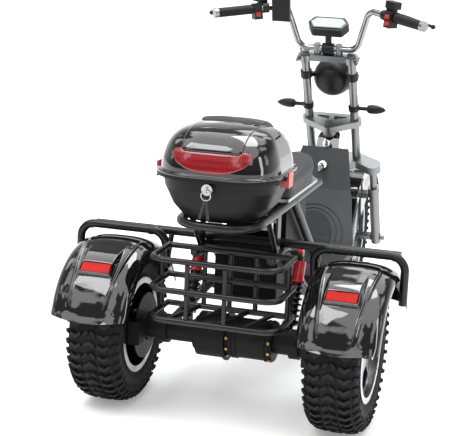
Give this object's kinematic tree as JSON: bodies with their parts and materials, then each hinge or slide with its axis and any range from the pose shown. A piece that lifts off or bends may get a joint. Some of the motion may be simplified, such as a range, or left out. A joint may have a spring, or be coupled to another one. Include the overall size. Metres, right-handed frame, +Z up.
{
  "type": "motorized trike",
  "caption": "Three-wheeled electric scooter with fat knobby tyres, raked fork, long saddle, tube basket and a hard top case.",
  "frame": {"origin": "on the floor under the middle of the trike's length and width", "axes": "+X to the rider's right, +Y forward, +Z up"},
  "size_m": [0.988, 1.8869, 1.1667],
  "materials": {
    "frame_black": "satin",
    "gloss_black": "polished",
    "case_black": "fine grain",
    "deck_grey": "grained",
    "mat_grey": "ribbed",
    "tyre_black": "knobby",
    "rubber_black": "matt",
    "rim_silver": "machined",
    "fork_alloy": "satin",
    "bar_steel": "polished",
    "bright_steel": "brushed",
    "seat_leather": "grained",
    "pan_grey": "satin",
    "red_plastic": "gloss",
    "red_lens": "ribbed",
    "clear_lens": "clear",
    "shock_red": "gloss"
  },
  "bodies": {
    "chassis": {"frame": "frame_black", "deck": "deck_grey", "deck_mats": "mat_grey", "head_cover": "gloss_black", "ignition_lock": "bright_steel", "bag_hook": "bar_steel", "battery_box": "case_black", "axle_housing": "frame_black", "drive_motor": "frame_black", "axle_nuts": "bright_steel", "swing_arms": "frame_black", "rear_calipers": "frame_black", "rear_shocks": "shock_red", "shock_springs": "frame_black", "rear_fenders": "gloss_black", "reflectors": "red_plastic", "fender_bars": "frame_black", "basket_top": "frame_black", "basket_mid": "frame_black", "basket_low": "frame_black", "basket_uprights": "frame_black", "case_base": "case_black", "case_latches": "red_plastic", "case_lock": "bright_steel", "rear_lamps": "clear_lens"},
    "saddle": {"seat_pan": "pan_grey", "seat_cushion": "seat_leather"},
    "lid": {"case_lid": "gloss_black", "lid_lens": "red_lens", "lid_pad": "rubber_black"},
    "rear_wheel_left": {"rear_tyre_left": "tyre_black", "rear_rim_left": "rim_silver", "rear_disc_left": "bright_steel"},
    "rear_wheel_right": {"rear_tyre_right": "tyre_black", "rear_rim_right": "rim_silver", "rear_disc_right": "bright_steel"},
    "front_wheel": {"front_tyre": "tyre_black", "front_rim": "rim_silver", "front_disc": "bright_steel"},
    "steering": {"fork_tubes": "fork_alloy", "mid_clamp": "fork_alloy", "low_bridge": "fork_alloy", "top_clamp": "fork_alloy", "fork_legs": "fork_alloy", "front_axle": "bright_steel", "front_fender": "gloss_black", "handlebar": "bar_steel", "grips": "rubber_black", "bar_ends": "bright_steel", "brake_levers": "case_black", "bar_switches": "case_black", "phone_holder": "case_black", "dash": "gloss_black", "headlight": "gloss_black", "headlight_lens": "clear_lens", "turn_signals": "deck_grey", "front_caliper": "case_black", "front_brake_hose": "rubber_black"}
  },
  "joints": [
    {"name": "steering_pivot", "type": "hinge", "parent": "chassis", "child": "steering", "pos_m": [0, 0.46638, 0.683], "axis": [0, -0.4493, 0.8934], "range_deg": [-35, 35]},
    {"name": "front_wheel_spin", "type": "hinge", "parent": "steering", "child": "front_wheel", "pos_m": [0, 0.70262, 0.24], "axis": [-1, 0, 0], "continuous": true},
    {"name": "rear_wheel_left_spin", "type": "hinge", "parent": "chassis", "child": "rear_wheel_left", "pos_m": [-0.342, -0.65862, 0.228], "axis": [-1, 0, 0], "continuous": true},
    {"name": "rear_wheel_right_spin", "type": "hinge", "parent": "chassis", "child": "rear_wheel_right", "pos_m": [0.342, -0.65862, 0.228], "axis": [-1, 0, 0], "continuous": true},
    {"name": "saddle_hinge", "type": "hinge", "parent": "chassis", "child": "saddle", "pos_m": [0, -0.12862, 0.592], "axis": [-1, 0, 0], "range_deg": [0, 50]},
    {"name": "lid_hinge", "type": "hinge", "parent": "chassis", "child": "lid", "pos_m": [0, -0.56462, 0.729], "axis": [-1, 0, 0], "range_deg": [0, 60]}
  ]
}
